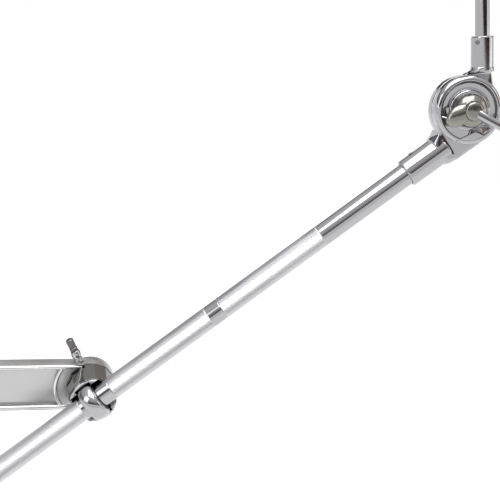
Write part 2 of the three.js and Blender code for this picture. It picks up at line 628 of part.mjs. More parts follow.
function buildStand() {
  const boom = new THREE.Group();
  boom.rotation.x = -ROD_ROLL;
  boom.add(buildRod(), buildLowerTilter(), buildUpperTilter());
  const swivel = new THREE.Group();
  swivel.position.set(ARM_REACH, EYE_SETBACK, 0);
  swivel.rotation.y = -BOOM_ANGLE;
  swivel.add(buildEye(), boom);
  const stand = new THREE.Group();
  stand.add(buildClamp(), swivel);
  return stand;
}

export default buildStand();
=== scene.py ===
"""Looks of the cymbal boom arm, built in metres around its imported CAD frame.

The frame gives every place: the joints carry the axes of the boom, the tilter and the cymbal
rod, and the node boxes carry the lengths. Each sub-assembly is a class that builds its own
surfaces with numpy and dresses them with the finishes below.
"""
import json
import logging
import math
from dataclasses import dataclass
from enum import Enum
from typing import Callable, Sequence

import bmesh
import bpy
import numpy as np
from mathutils import Matrix, Vector


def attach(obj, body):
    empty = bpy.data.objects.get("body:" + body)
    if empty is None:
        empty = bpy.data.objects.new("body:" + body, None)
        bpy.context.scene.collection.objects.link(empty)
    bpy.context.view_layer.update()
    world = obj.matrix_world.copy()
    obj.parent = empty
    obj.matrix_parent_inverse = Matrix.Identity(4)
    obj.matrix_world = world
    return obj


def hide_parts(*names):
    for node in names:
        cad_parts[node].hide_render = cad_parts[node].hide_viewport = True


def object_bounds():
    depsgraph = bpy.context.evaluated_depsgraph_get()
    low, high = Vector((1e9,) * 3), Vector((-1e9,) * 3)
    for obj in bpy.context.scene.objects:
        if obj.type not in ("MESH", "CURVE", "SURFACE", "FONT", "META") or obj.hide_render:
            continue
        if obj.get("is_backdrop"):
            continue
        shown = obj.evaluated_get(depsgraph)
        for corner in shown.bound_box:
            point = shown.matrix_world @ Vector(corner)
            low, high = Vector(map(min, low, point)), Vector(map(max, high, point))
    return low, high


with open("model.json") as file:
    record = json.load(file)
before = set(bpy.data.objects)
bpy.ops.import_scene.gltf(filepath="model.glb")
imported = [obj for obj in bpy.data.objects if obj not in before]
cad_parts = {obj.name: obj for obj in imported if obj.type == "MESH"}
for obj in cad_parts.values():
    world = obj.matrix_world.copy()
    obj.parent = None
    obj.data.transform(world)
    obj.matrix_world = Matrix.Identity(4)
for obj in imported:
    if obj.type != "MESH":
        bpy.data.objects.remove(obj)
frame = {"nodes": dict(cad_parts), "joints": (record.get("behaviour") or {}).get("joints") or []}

LOG = logging.getLogger("boom_arm")
MM = 0.001
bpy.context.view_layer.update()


# ---- Places -------------------------------------------------------------------------------


@dataclass(frozen=True)
class Place:
    """A local frame in the object's frame; lengths inside it are millimetres."""

    origin: np.ndarray
    x: np.ndarray
    y: np.ndarray
    z: np.ndarray

    def world(self, points: np.ndarray) -> np.ndarray:
        """Turn local millimetres into metres in the object's frame.

        Args:
            points: array of shape (n, 3) in this place's axes.

        Returns:
            Array of shape (n, 3) in metres: origin plus each coordinate times its axis.
        """
        axes = np.stack([self.x, self.y, self.z])
        return self.origin + (points * MM) @ axes

    def along(self, node: str) -> tuple[float, float]:
        """Return where a CAD node begins and ends along this place's x axis, in millimetres."""
        mesh = frame["nodes"][node].data
        corners = np.empty(len(mesh.vertices) * 3)
        mesh.vertices.foreach_get("co", corners)
        reach = (corners.reshape(-1, 3) - self.origin) @ self.x / MM
        return float(reach.min()), float(reach.max())

    def shifted(self, x: float = 0.0, y: float = 0.0, z: float = 0.0) -> "Place":
        """Return the same axes at an origin moved by local millimetres."""
        moved = self.world(np.array([[x, y, z]]))[0]
        return Place(moved, self.x, self.y, self.z)


def joint(name: str) -> dict:
    """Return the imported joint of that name."""
    return next(row for row in frame["joints"] if row["name"] == name)


def unit(values: Sequence[float]) -> np.ndarray:
    """Return the vector scaled to length one."""
    vector = np.array(values, dtype=float)
    return vector / np.linalg.norm(vector)


UP = np.array([0.0, 0.0, 1.0])
BACK = np.array([0.0, 1.0, 0.0])


def arm_place() -> Place:
    """Return the cast arm's place: the object's own axes."""
    return Place(np.zeros(3), np.array([1.0, 0.0, 0.0]), BACK, UP)


def eye_place() -> Place:
    """Return the eye clamp's place: x along the boom, y back along the boss axis."""
    x = unit(joint("rod_slide")["axis"])
    return Place(np.array(joint("boom_swivel")["pos_m"]), x, BACK, np.cross(x, BACK))


def boom_place() -> Place:
    """Return the boom's place: x up the rod, y along the tilter axis."""
    x = unit(joint("rod_slide")["axis"])
    y = unit(joint("tilt")["axis"])
    return Place(np.array(joint("boom_swivel")["pos_m"]), x, y, np.cross(x, y))


def lower_tilter_place() -> Place:
    """Return the lower tilter half's place: x down the socket, z out of its face."""
    x = -unit(joint("rod_slide")["axis"])
    z = -unit(joint("tilt")["axis"])
    return Place(np.array(joint("tilt")["pos_m"]), x, np.cross(z, x), z)


def upper_tilter_place() -> Place:
    """Return the upper tilter half's place: x up the cymbal rod, z out of its face."""
    x = unit(joint("cymbal_nut_travel")["axis"])
    z = unit(joint("tilt")["axis"])
    return Place(np.array(joint("tilt")["pos_m"]), x, np.cross(z, x), z)


# ---- Finishes -----------------------------------------------------------------------------


class Wiring:
    """A material's node tree, with short calls for the nodes that the finishes share."""

    def __init__(self, name: str) -> None:
        """Start an empty material with a Principled shader wired to its output."""
        self.material = bpy.data.materials.new(name)
        self.material.use_nodes = True
        self.nodes = self.material.node_tree.nodes
        self.links = self.material.node_tree.links
        self.nodes.clear()
        output = self.nodes.new("ShaderNodeOutputMaterial")
        self.shader = self.nodes.new("ShaderNodeBsdfPrincipled")
        self.links.new(self.shader.outputs["BSDF"], output.inputs["Surface"])
        self.coordinates = self.nodes.new("ShaderNodeTexCoord").outputs["Object"]

    def noise(
        self, scale: float, detail: float = 3.0, stretch: Sequence[float] = (1, 1, 1)
    ) -> bpy.types.NodeSocket:
        """Return a noise value on object coordinates.

        Args:
            scale: cells per metre.
            detail: octaves.
            stretch: how much denser the pattern is along each axis.

        Returns:
            The noise node's factor output.
        """
        mapping = self.nodes.new("ShaderNodeMapping")
        mapping.inputs["Scale"].default_value = stretch
        self.links.new(self.coordinates, mapping.inputs["Vector"])
        node = self.nodes.new("ShaderNodeTexNoise")
        node.inputs["Scale"].default_value = scale
        node.inputs["Detail"].default_value = detail
        self.links.new(mapping.outputs["Vector"], node.inputs["Vector"])
        return node.outputs["Fac"]

    def spread(self, value: bpy.types.NodeSocket, low: float, high: float) -> bpy.types.NodeSocket:
        """Return the value mapped from the noise's usual 0.3 to 0.7 onto low to high."""
        node = self.nodes.new("ShaderNodeMapRange")
        node.inputs["From Min"].default_value = 0.3
        node.inputs["From Max"].default_value = 0.7
        node.inputs["To Min"].default_value = low
        node.inputs["To Max"].default_value = high
        self.links.new(value, node.inputs["Value"])
        return node.outputs["Result"]

    def blend(
        self, value: bpy.types.NodeSocket, first: Sequence[float], second: Sequence[float]
    ) -> bpy.types.NodeSocket:
        """Return a colour between two colours, chosen by the value."""
        node = self.nodes.new("ShaderNodeMix")
        node.data_type = "RGBA"
        node.inputs["A"].default_value = (*first, 1.0)
        node.inputs["B"].default_value = (*second, 1.0)
        self.links.new(value, node.inputs["Factor"])
        return node.outputs["Result"]

    def bump(self, height: bpy.types.NodeSocket, strength: float, distance: float) -> None:
        """Bend the shader's normal by a height value, over a distance in metres."""
        node = self.nodes.new("ShaderNodeBump")
        node.inputs["Strength"].default_value = strength
        node.inputs["Distance"].default_value = distance
        self.links.new(height, node.inputs["Height"])
        self.links.new(node.outputs["Normal"], self.shader.inputs["Normal"])

    def feed(self, socket: str, value: bpy.types.NodeSocket) -> None:
        """Link a value to one of the shader's sockets."""
        self.links.new(value, self.shader.inputs[socket])

    def fix(self, **sockets: float | tuple[float, ...]) -> None:
        """Set shader sockets that are the same all over; an underscore stands for a space."""
        for name, value in sockets.items():
            self.shader.inputs[name.replace("_", " ")].default_value = value


@dataclass(frozen=True)
class PolishedMetal:
    """Plated or polished metal with faint handling haze and hairline scratches."""

    name: str
    slot: str
    bright: tuple[float, float, float]
    dull: tuple[float, float, float]
    roughness: tuple[float, float] = (0.03, 0.1)
    scratch: float = 0.02

    def make(self) -> bpy.types.Material:
        """Return the material: haze varies colour and roughness, stretched noise scratches it."""
        wiring = Wiring(self.name)
        haze = wiring.noise(55.0, 4.0)
        wiring.fix(Metallic=1.0)
        wiring.feed("Base Color", wiring.blend(haze, self.dull, self.bright))
        wiring.feed("Roughness", wiring.spread(haze, *self.roughness))
        wiring.bump(wiring.noise(900.0, 2.0, (1.0, 1.0, 6.0)), self.scratch, 0.0002)
        return wiring.material


@dataclass(frozen=True)
class CastMetal:
    """Satin cast aluminium with a fine grain and slow shade changes."""

    name: str
    slot: str
    light: tuple[float, float, float]
    dark: tuple[float, float, float]
    grain: float = 2600.0
    roughness: tuple[float, float] = (0.26, 0.4)

    def make(self) -> bpy.types.Material:
        """Return the material: slow noise shades it, fine noise pits the skin."""
        wiring = Wiring(self.name)
        slow = wiring.noise(40.0, 3.0)
        wiring.fix(Metallic=1.0)
        wiring.feed("Base Color", wiring.blend(slow, self.dark, self.light))
        wiring.feed("Roughness", wiring.spread(slow, *self.roughness))
        wiring.bump(wiring.noise(self.grain, 2.0), 0.12, 0.0003)
        return wiring.material


@dataclass(frozen=True)
class MouldedSoft:
    """Moulded rubber or nylon: dark, slightly mottled, with a fine moulding grain."""

    name: str
    slot: str
    colour: tuple[float, float, float]
    worn: tuple[float, float, float]
    roughness: tuple[float, float] = (0.4, 0.6)

    def make(self) -> bpy.types.Material:
        """Return the material: mottled colour and roughness, fine moulding grain."""
        wiring = Wiring(self.name)
        mottle = wiring.noise(120.0, 4.0)
        wiring.feed("Base Color", wiring.blend(mottle, self.colour, self.worn))
        wiring.feed("Roughness", wiring.spread(mottle, *self.roughness))
        wiring.bump(wiring.noise(3200.0, 2.0), 0.2, 0.0002)
        return wiring.material


@dataclass(frozen=True)
class WoolFelt:
    """Pressed wool felt: matt, fuzzy, with matted fibres."""

    name: str
    slot: str
    colour: tuple[float, float, float]
    fibre: tuple[float, float, float]

    def make(self) -> bpy.types.Material:
        """Return the material: fibre noise drives colour and height, with a soft sheen."""
        wiring = Wiring(self.name)
        fibres = wiring.noise(1500.0, 6.0, (1.0, 1.0, 2.5))
        wiring.feed("Base Color", wiring.blend(fibres, self.colour, self.fibre))
        wiring.fix(Roughness=0.95)
        wiring.fix(Sheen_Weight=0.5)
        wiring.bump(fibres, 0.6, 0.0006)
        return wiring.material


MADE: dict[str, bpy.types.Material] = {}


class Finish(Enum):
    """Every finish on the object, as the recipe of its material; two are copies of other finishes with a
    painted highlight or painted shade in their colour.
    """

    CHROME = PolishedMetal("chrome_plate", "polished_chrome",
                           (0.43, 0.43, 0.445), (0.39, 0.39, 0.405),
                           (0.04, 0.1))
    # A rougher copy of the polished chrome whose darker, olive colour is painted shade; it is used on the
    # lever nut's dome.
    SATIN_PAINTED_SHADE = PolishedMetal("satin_chrome_painted_shade", "polished_chrome",
                          (0.3, 0.294, 0.268), (0.2, 0.195, 0.178),
                          (0.12, 0.22))
    BRIGHT_STEEL = PolishedMetal("zinc_plate", "plated_steel",
                                 (0.72, 0.72, 0.73), (0.6, 0.6, 0.61),
                                 (0.14, 0.3), 0.05)
    SEAT_CHROME = PolishedMetal("seat_plate", "seat_chrome",
                                (0.24, 0.235, 0.225), (0.19, 0.188, 0.185),
                                (0.05, 0.12))
    DARK_STEEL = PolishedMetal("black_steel", "dark_steel",
                               (0.2, 0.19, 0.19), (0.12, 0.115, 0.115),
                               (0.25, 0.4), 0.05)
    KNURL = PolishedMetal("knurled_plate", "knurled_chrome",
                          (0.6, 0.6, 0.615), (0.54, 0.54, 0.553),
                          (0.3, 0.4), 0.06)
    CAST = CastMetal("satin_casting", "cast_aluminium", (0.53, 0.53, 0.532), (0.47, 0.47, 0.47))
    # A lighter, smoother copy of the cast aluminium: its brighter colour is a painted highlight along the
    # arm's beads.
    BEAD_PAINTED_HIGHLIGHT = CastMetal("casting_painted_highlight", "cast_aluminium", (0.7, 0.7, 0.7), (0.62, 0.62, 0.62), 2600.0,
                     (0.16, 0.24))
    NYLON = MouldedSoft("moulded_nylon", "black_nylon", (0.016, 0.016, 0.018), (0.03, 0.03, 0.032))
    RUBBER = MouldedSoft("moulded_rubber", "black_rubber",
                         (0.014, 0.014, 0.015), (0.028, 0.028, 0.028),
                         (0.6, 0.8))
    FELT = WoolFelt("pressed_wool", "wool_felt", (0.028, 0.028, 0.032), (0.075, 0.075, 0.082))

    def material(self) -> bpy.types.Material:
        """Return this finish's material, made once; the CAD's own plain materials are never reused."""
        if self.name not in MADE:
            MADE[self.name] = self.value.make()
        return MADE[self.name]


def dress(piece: bpy.types.Object, finish: Finish) -> None:
    """Give an object one finish all over."""
    piece.data.materials.clear()
    piece.data.materials.append(finish.material())


# ---- Surfaces -----------------------------------------------------------------------------


@dataclass
class Skin:
    """Points and faces of one surface, in a place's millimetres, with a smooth flag per face."""

    points: np.ndarray
    faces: np.ndarray
    smooth: np.ndarray

    def __add__(self, other: "Skin") -> "Skin":
        """Return both surfaces as one mesh; the shells stay separate."""
        return Skin(np.vstack([self.points, other.points]),
                    np.vstack([self.faces, other.faces + len(self.points)]),
                    np.concatenate([self.smooth, other.smooth]))

    def moved(self, x: float = 0.0, y: float = 0.0, z: float = 0.0) -> "Skin":
        """Return the surface shifted by millimetres."""
        return Skin(self.points + np.array([x, y, z]), self.faces, self.smooth)

    def swapped(self, order: tuple[int, int, int]) -> "Skin":
        """Return the surface with its axes taken in another cyclic order."""
        return Skin(self.points[:, order], self.faces, self.smooth)


def woven(grid: np.ndarray, smooth: np.ndarray | None = None) -> Skin:
    """Join a grid of points into quads, closed around its second index.

    Args:
        grid: array of shape (rows, around, 3); row 0 and the last row end the surface.
        smooth: flag per row of faces; all smooth if left out.

    Returns:
        A surface whose quad (i, j) joins rows i and i + 1 at columns j and j + 1.
    """
    rows, around, _ = grid.shape
    row, column = np.meshgrid(np.arange(rows - 1), np.arange(around), indexing="ij")
    following = (column + 1) % around
    corners = [row * around + column, row * around + following,
               (row + 1) * around + following, (row + 1) * around + column]
    faces = np.stack(corners, axis=-1).reshape(-1, 4)
    flags = np.ones(rows - 1, dtype=bool) if smooth is None else smooth
    return Skin(grid.reshape(-1, 3), faces, np.repeat(flags, around))


def guarded(profile: Sequence[tuple[float, float]], length: float = 1.0, margin: float = 0.12) -> np.ndarray:
    """Add points beside both ends of each long step of a profile, so that shading stays flat along it."""
    points = [np.array(point, dtype=float) for point in profile]
    out = [points[0]]
    for first, second in zip(points, points[1:]):
        size = np.linalg.norm(second - first)
        if size > length:
            nudge = (second - first) / size * margin
            out += [first + nudge, second - nudge]
        out.append(second)
    return np.array(out)


def spun(profile: Sequence[tuple[float, float]], around: int = 96,
         ripple: Callable[[np.ndarray, np.ndarray, np.ndarray], np.ndarray] | None = None) -> Skin:
    """Turn a profile around the x axis.

    Args:
        profile: (x, radius) pairs in millimetres, from one end to the other.
        around: number of columns.
        ripple: change of radius as a function of x, radius and angle.

    Returns:
        The surface (x, r cos a, r sin a), with r the profile's radius plus the ripple.
    """
    x, radius = guarded(profile).T
    angle = np.linspace(0.0, 2.0 * np.pi, around, endpoint=False)
    xs, angles = np.meshgrid(x, angle, indexing="ij")
    radii = np.repeat(radius[:, None], around, axis=1)
    if ripple is not None:
        radii = radii + ripple(xs, radii, angles)
    return woven(np.stack([xs, radii * np.cos(angles), radii * np.sin(angles)], axis=-1))


def rounded(
    corners: Sequence[tuple[float, float]], fillet: float, steps: int = 4
) -> list[tuple[float, float]]:
    """Round a profile's inner corners with quadratic curves.

    Args:
        corners: (x, radius) corner points.
        fillet: how far from each corner its curve begins, in millimetres.
        steps: number of pieces in each curve.

    Returns:
        Profile points: the two ends, and at each corner the points
        (1-t)^2 a + 2t(1-t) corner + t^2 b between the curve's ends a and b.
    """
    points = np.array(corners, dtype=float)
    out = [tuple(points[0])]
    for before, corner, after in zip(points, points[1:], points[2:]):
        inward, outward = before - corner, after - corner
        near = corner + inward * min(0.45, fillet / max(np.linalg.norm(inward), 1e-9))
        far = corner + outward * min(0.45, fillet / max(np.linalg.norm(outward), 1e-9))
        t = np.linspace(0.0, 1.0, steps + 1)[:, None]
        out.extend(map(tuple, (1 - t) ** 2 * near + 2 * t * (1 - t) * corner + t ** 2 * far))
    out.append(tuple(points[-1]))
    return out


def thread(radius: float, start: float, end: float, pitch: float, depth: float, around: int = 48) -> Skin:
    """Cut a screw thread on a rod along x.

    Args:
        radius: crest radius in millimetres.
        start: where the thread begins.
        end: where the thread ends; both ends taper to the root over one pitch.
        pitch: advance per turn.
        depth: crest to root.
        around: number of columns.

    Returns:
        A surface of radius R minus depth times a triangle wave of (x / pitch - angle / turn).
    """
    rows = int(round((end - start) / pitch * 6)) + 1
    x = np.linspace(start, end, rows)

    def wave(xs: np.ndarray, radii: np.ndarray, angles: np.ndarray) -> np.ndarray:
        phase = xs / pitch - angles / (2 * np.pi)
        return -depth * np.abs(2 * (phase - np.floor(phase)) - 1)

    lead = np.clip(np.minimum(x - start, end - x) / pitch, 0.0, 1.0)
    body = spun(list(zip(x, radius - depth * (1 - lead))), around, wave)
    root = radius - 2 * depth
    caps = spun([(start, 0.01), (start, root)], around) + spun([(end, root), (end, 0.01)], around)
    return body + caps


def lofted(stations: Sequence[tuple[float, float, float, float, float]],
           power: float | Sequence[float] = 7.0, around: int = 96) -> Skin:
    """Run rounded rectangular sections along x.

    Args:
        stations: (x, lowest y, highest y, lowest z, highest z) in millimetres.
        power: squareness p of the sections, one for all or one per station.
        around: points in each section.

    Returns:
        A closed surface with sections |y'|^p + |z'|^p = 1, scaled to each station's box.
    """
    rows = np.array(stations, dtype=float)
    turn = np.linspace(0.0, 2 * np.pi, around, endpoint=False)
    powers = np.broadcast_to(np.asarray(power, dtype=float), len(rows))
    powers = np.concatenate([powers[:1], powers[:1], powers, powers[-1:], powers[-1:]])[:, None]
    across = np.sign(np.cos(turn)) * np.abs(np.cos(turn)) ** (2 / powers)
    deep = np.sign(np.sin(turn)) * np.abs(np.sin(turn)) ** (2 / powers)
    size = np.concatenate([[0.001, 0.93], np.ones(len(rows)), [0.93, 0.001]])
    rows = np.vstack([rows[:1], rows[:1], rows, rows[-1:], rows[-1:]])
    rows[[2, -3], 0] += (0.4, -0.4)
    y = (rows[:, 1:2] + rows[:, 2:3]) / 2 + size[:, None] * (rows[:, 2:3] - rows[:, 1:2]) / 2 * across
    z = (rows[:, 3:4] + rows[:, 4:5]) / 2 + size[:, None] * (rows[:, 4:5] - rows[:, 3:4]) / 2 * deep
    return woven(np.stack([np.repeat(rows[:, :1], around, axis=1), y, z], axis=-1))


def windowed(outline: Sequence[tuple[float, float]], middle: tuple[float, float], half: float,
             low: float, high: float, around: int = 288) -> Skin:
    """Make a flat plate with a square window.

    Args:
        outline: corners (x, y) of the plate, seen whole from the window's middle.
        middle: the window's middle.
        half: half the window's width.
        low: underside, along z.
        high: upper face.
        around: number of rays.

    Returns:
        A closed surface whose rays run from the window's edge, half / max(|cos|, |sin|), out to
        the nearest crossing with the outline, with both upper edges rounded.
    """
    angle = np.linspace(0.0, 2 * np.pi, around, endpoint=False)
    ray = np.stack([np.cos(angle), np.sin(angle)], axis=-1)
    start = np.array(outline, dtype=float) - np.array(middle)
    edge = np.roll(start, -1, axis=0) - start
    turned_ray = ray[:, None, 0] * edge[None, :, 1] - ray[:, None, 1] * edge[None, :, 0]
    turned_ray = np.where(np.abs(turned_ray) < 1e-9, 1e-9, turned_ray)
    out = (start[:, 0] * edge[:, 1] - start[:, 1] * edge[:, 0])[None] / turned_ray
    along = (start[None, :, 0] * ray[:, None, 1] - start[None, :, 1] * ray[:, None, 0]) / turned_ray
    reach = np.where((out > 0) & (along >= -1e-6) & (along <= 1 + 1e-6), out, np.inf).min(axis=1)
    hole = half / np.maximum(np.abs(ray[:, 0]), np.abs(ray[:, 1]))
    rows = [(hole, low), (hole, high - 0.35), (hole + 0.1, high - 0.1), (hole + 0.35, high),
            (reach - 0.5, high), (reach - 0.14, high - 0.14), (reach, high - 0.5), (reach, low), (hole, low)]
    grid = np.stack([np.stack([middle[0] + r * ray[:, 0], middle[1] + r * ray[:, 1],
                               np.full(around, z)], axis=-1) for r, z in rows])
    return woven(grid)


def laid(name: str, skin: Skin, place: Place, finish: "Finish", body: str, *nodes: str) -> bpy.types.Object:
    """Make a piece from a surface, dress it, and tie it to its body and CAD nodes.

    Args:
        name: the piece's name.
        skin: its surface in the place's millimetres.
        place: the frame that the surface is in.
        finish: its finish.
        body: the CAD body that it moves with.
        nodes: the CAD nodes that it stands for.

    Returns:
        The piece, with its object at the origin and its vertices in metres.
    """
    mesh = bpy.data.meshes.new(name)
    mesh.from_pydata(place.world(skin.points), [], skin.faces)
    mesh.polygons.foreach_set("use_smooth", skin.smooth)
    mesh.update()
    piece = bpy.data.objects.new(name, mesh)
    bpy.context.scene.collection.objects.link(piece)
    mesh.materials.append(finish.material())
    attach(piece, body)
    if nodes:
        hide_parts(*nodes)
    LOG.info("%s: %d faces on %s", name, len(mesh.polygons), body)
    return piece


def softened(node: str, finish: "Finish", body: str, width: float, segments: int = 3) -> bpy.types.Object:
    """Stand a merged copy of a CAD node in for it, with its edges rounded.

    Args:
        node: the CAD node.
        finish: the copy's finish.
        body: the CAD body that it moves with.
        width: width of the rounding in millimetres.
        segments: faces across each rounded edge.

    Returns:
        The copy, welded, with a bevel on edges sharper than 28 degrees and smooth shading.
    """
    mesh = frame["nodes"][node].data.copy()
    mesh.name = f"{node}_soft"
    work = bmesh.new()
    work.from_mesh(mesh)
    bmesh.ops.remove_doubles(work, verts=work.verts, dist=2e-6)
    bmesh.ops.dissolve_limit(work, angle_limit=math.radians(1.2), verts=work.verts, edges=work.edges)
    work.to_mesh(mesh)
    work.free()
    mesh.polygons.foreach_set("use_smooth", np.ones(len(mesh.polygons), dtype=bool))
    mesh.materials.clear()
    mesh.materials.append(finish.material())
    copy = bpy.data.objects.new(f"{node}_soft", mesh)
    bpy.context.scene.collection.objects.link(copy)
    bevel = copy.modifiers.new("rounding", "BEVEL")
    bevel.width, bevel.segments = width * MM, segments
    bevel.limit_method, bevel.angle_limit = "ANGLE", math.radians(28)
    bevel.harden_normals = True
    bevel.use_clamp_overlap = True
    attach(copy, body)
    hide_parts(node)
    LOG.info("%s: rounded copy with %d faces on %s", copy.name, len(mesh.polygons), body)
    return copy


# ---- The studio ---------------------------------------------------------------------------


@dataclass
class Studio:
    """Plain pale floor, soft lights, a gradient sky and the camera."""

    floor_drop: float = 0.12
    azimuth: float = -15.604
    elevation: float = 18.128
    roll: float = 5.811
    distance: float = 0.544138
    aim: tuple[float, float, float] = (0.081715, 0.0, 0.090951)
    focal_in_widths: float = 1.96545
    sensor: float = 36.0
    ceiling: float = 1.05
    warm: tuple[float, float, float] = (1.8, 1.0, 0.5)
    cool: tuple[float, float, float] = (0.85, 0.95, 1.3)
    bands: tuple[tuple[float, float], ...] = (
        (0.567, 0.95), (0.58, 0.05), (0.612, 0.03), (0.63, 0.3), (0.67, 0.25), (0.73, 0.62))

    def build(self) -> None:
        """Make the floor, the sky, the lights and the camera."""
        self.floor()
        self.sky()
        self.lights()
        self.camera()

    def floor(self) -> None:
        """Make a large, evenly lit white floor below the object, marked as staging."""
        low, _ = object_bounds()
        height = low[2] - self.floor_drop
        half = 1.6
        mesh = bpy.data.meshes.new("studio_floor")
        corners = [(x * half, y * half, height) for x, y in ((-1, -1), (1, -1), (1, 1), (-1, 1))]
        mesh.from_pydata(corners, [], [(0, 1, 2, 3)])
        floor = bpy.data.objects.new("studio_floor", mesh)
        bpy.context.scene.collection.objects.link(floor)
        wiring = Wiring("floor_paper")
        wiring.feed("Base Color", wiring.blend(wiring.noise(3.0), (0.3, 0.3, 0.3), (0.33, 0.33, 0.33)))
        wiring.fix(Roughness=0.9, Emission_Strength=0.82, Emission_Color=(1.0, 1.0, 1.0, 1.0))
        mesh.materials.append(wiring.material)
        floor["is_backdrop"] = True

    def sky(self) -> None:
        """Make the surroundings: a dark band at eye level, warm to one side, under a bright ceiling."""
        world = bpy.data.worlds.new("studio")
        bpy.context.scene.world = world
        world.use_nodes = True
        nodes, links = world.node_tree.nodes, world.node_tree.links
        nodes.clear()
        output = nodes.new("ShaderNodeOutputWorld")
        background = nodes.new("ShaderNodeBackground")
        split = nodes.new("ShaderNodeSeparateXYZ")
        links.new(nodes.new("ShaderNodeTexCoord").outputs["Generated"], split.inputs["Vector"])
        mix = nodes.new("ShaderNodeMix")
        mix.data_type = "RGBA"
        for axis, socket in (("X", mix.inputs["Factor"]), ("Z", None)):
            half = nodes.new("ShaderNodeMapRange")
            half.inputs["From Min"].default_value = -1.0
            half.inputs["From Max"].default_value = 1.0
            links.new(split.outputs[axis], half.inputs["Value"])
            if socket is not None:
                links.new(half.outputs["Result"], socket)
        for side, tint in (("A", self.cool), ("B", self.warm)):
            ramp = nodes.new("ShaderNodeValToRGB")
            ramp.color_ramp.interpolation = "EASE"
            stops = ramp.color_ramp.elements
            stops[0].position, stops[0].color = 0.0, (0.95, 0.95, 0.95, 1)
            stops[1].position, stops[1].color = 1.0, (1.0, 1.0, 1.0, 1)
            for place, shade in self.bands:
                stop = stops.new(place)
                strength = 1.0 - min(1.0, shade * 1.6)
                stop.color = (*(shade * (1 - strength + strength * part) for part in tint), 1)
            links.new(half.outputs["Result"], ramp.inputs["Fac"])
            links.new(ramp.outputs["Color"], mix.inputs[side])
        links.new(mix.outputs["Result"], background.inputs["Color"])
        background.inputs["Strength"].default_value = self.ceiling
        links.new(background.outputs["Background"], output.inputs["Surface"])

    def lights(self) -> None:
        """Hang soft panels over, beside and in front of the object."""
        middle = Vector(sum((np.array(corner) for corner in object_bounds())) / 2)
        panels = (("top_panel", (-0.1, -0.25, 1.2), 1.2, 16.0), ("left_panel", (-1.3, -0.8, 0.7), 0.9, 5.0),
                  ("right_panel", (1.4, -0.5, 0.5), 0.8, 2.5))
        for name, offset, size, power in panels:
            data = bpy.data.lights.new(name, "AREA")
            data.size, data.energy = size, power
            lamp = bpy.data.objects.new(name, data)
            lamp.location = middle + Vector(offset)
            lamp.rotation_euler = (-Vector(offset)).to_track_quat("-Z", "Y").to_euler()
            bpy.context.scene.collection.objects.link(lamp)

    def camera(self) -> None:
        """Place the camera by its angles about a point beside the eye clamp."""
        azimuth, elevation = math.radians(self.azimuth), math.radians(self.elevation)
        back = Vector((math.sin(azimuth) * math.cos(elevation), -math.cos(azimuth) * math.cos(elevation),
                       math.sin(elevation)))
        target = Vector(eye_place().origin) + Vector(self.aim)
        data = bpy.data.cameras.new("camera")
        data.sensor_width = self.sensor
        data.lens = self.focal_in_widths * self.sensor
        camera = bpy.data.objects.new("camera", data)
        turn = (-back).to_track_quat("-Z", "Y").to_matrix() @ Matrix.Rotation(math.radians(self.roll), 3, "Z")
        camera.matrix_world = Matrix.Translation(target + back * self.distance) @ turn.to_4x4()
        bpy.context.scene.collection.objects.link(camera)
        bpy.context.scene.camera = camera


# ---- Sub-assemblies -----------------------------------------------------------------------


